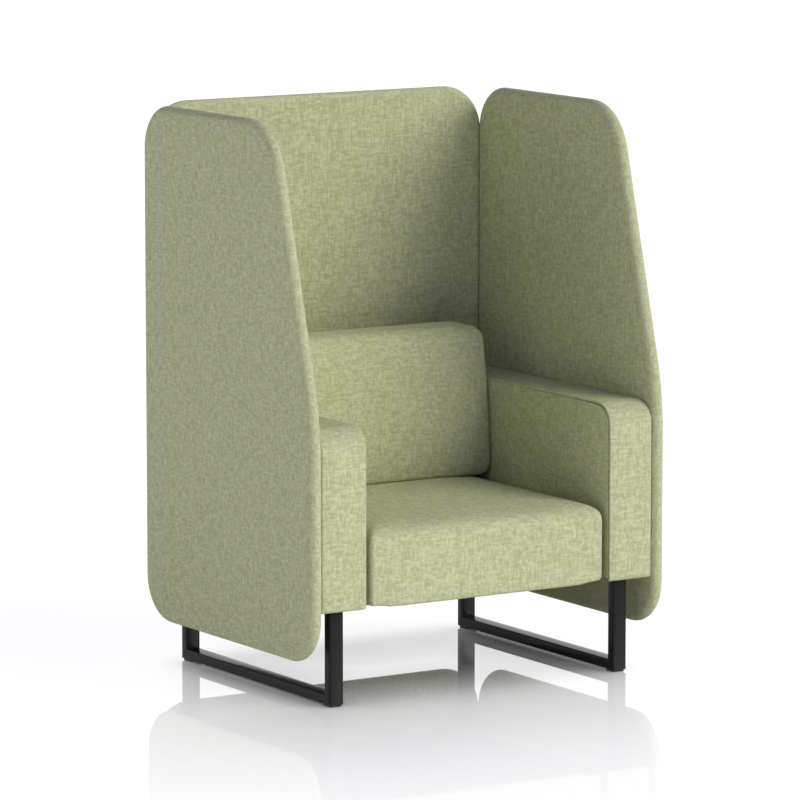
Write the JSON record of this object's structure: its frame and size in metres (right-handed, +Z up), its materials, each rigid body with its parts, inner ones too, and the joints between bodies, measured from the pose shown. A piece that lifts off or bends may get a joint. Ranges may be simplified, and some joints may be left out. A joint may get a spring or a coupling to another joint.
{
  "type": "acoustic high back lounge chair",
  "caption": "Upholstered box armchair inside three tall rounded acoustic screens, with a loose back cushion, on two black tubular sled frames.",
  "frame": {"origin": "on the floor, under the middle of the chair's footprint", "axes": "+Z up; -Y the way the sitter faces; +X to the right of someone looking at the chair's front"},
  "size_m": [1, 0.815, 1.38],
  "materials": {
    "upholstery": "pale sage woven wool, matte, with a fine weave",
    "black_cloth": "thin black non-woven dust cover cloth",
    "plywood": "raw birch plywood, hidden",
    "frame_timber": "raw sawn hardwood, hidden",
    "seat_timber": "dark stained hardwood",
    "sled_steel": "black powder coat, satin",
    "spring_steel": "plain drawn spring wire",
    "zinc_fixings": "bright zinc plate",
    "glide_plastic": "black moulded plastic"
  },
  "bodies": {
    "root": {"left_screen_pad": "upholstery", "left_screen_core": "plywood", "right_screen_pad": "upholstery", "right_screen_core": "plywood", "back_screen_pad": "upholstery", "back_screen_core": "plywood", "left_arm_band": "upholstery", "left_arm_inner_pad": "upholstery", "left_arm_inner_board": "plywood", "left_arm_outer_board": "plywood", "left_arm_base_board": "frame_timber", "left_arm_front_post": "frame_timber", "left_arm_top_rail": "frame_timber", "left_arm_rear_post": "frame_timber", "right_arm_band": "upholstery", "right_arm_inner_pad": "upholstery", "right_arm_inner_board": "plywood", "right_arm_outer_board": "plywood", "right_arm_base_board": "frame_timber", "right_arm_front_post": "frame_timber", "right_arm_top_rail": "frame_timber", "right_arm_rear_post": "frame_timber", "left_runner": "sled_steel", "left_front_leg": "sled_steel", "left_front_glide": "glide_plastic", "left_front_bolt_a": "zinc_fixings", "left_front_bolt_b": "zinc_fixings", "left_rear_leg": "sled_steel", "left_rear_glide": "glide_plastic", "left_rear_bolt_a": "zinc_fixings", "left_rear_bolt_b": "zinc_fixings", "right_runner": "sled_steel", "right_front_leg": "sled_steel", "right_front_glide": "glide_plastic", "right_front_bolt_a": "zinc_fixings", "right_front_bolt_b": "zinc_fixings", "right_rear_leg": "sled_steel", "right_rear_glide": "glide_plastic", "right_rear_bolt_a": "zinc_fixings", "right_rear_bolt_b": "zinc_fixings", "seat_cushion": "upholstery", "seat_front_rail": "seat_timber", "seat_rear_rail": "seat_timber", "seat_left_rail": "seat_timber", "seat_right_rail": "seat_timber", "seat_spring_1": "spring_steel", "seat_spring_2": "spring_steel", "seat_spring_3": "spring_steel", "seat_spring_4": "spring_steel", "seat_dust_cover": "black_cloth", "back_support_pad": "upholstery", "back_support_board": "plywood", "back_left_post": "frame_timber", "back_right_post": "frame_timber", "back_top_rail": "frame_timber", "back_cushion": "upholstery", "left_corner_angle": "sled_steel", "right_corner_angle": "sled_steel"}
  },
  "joints": []
}
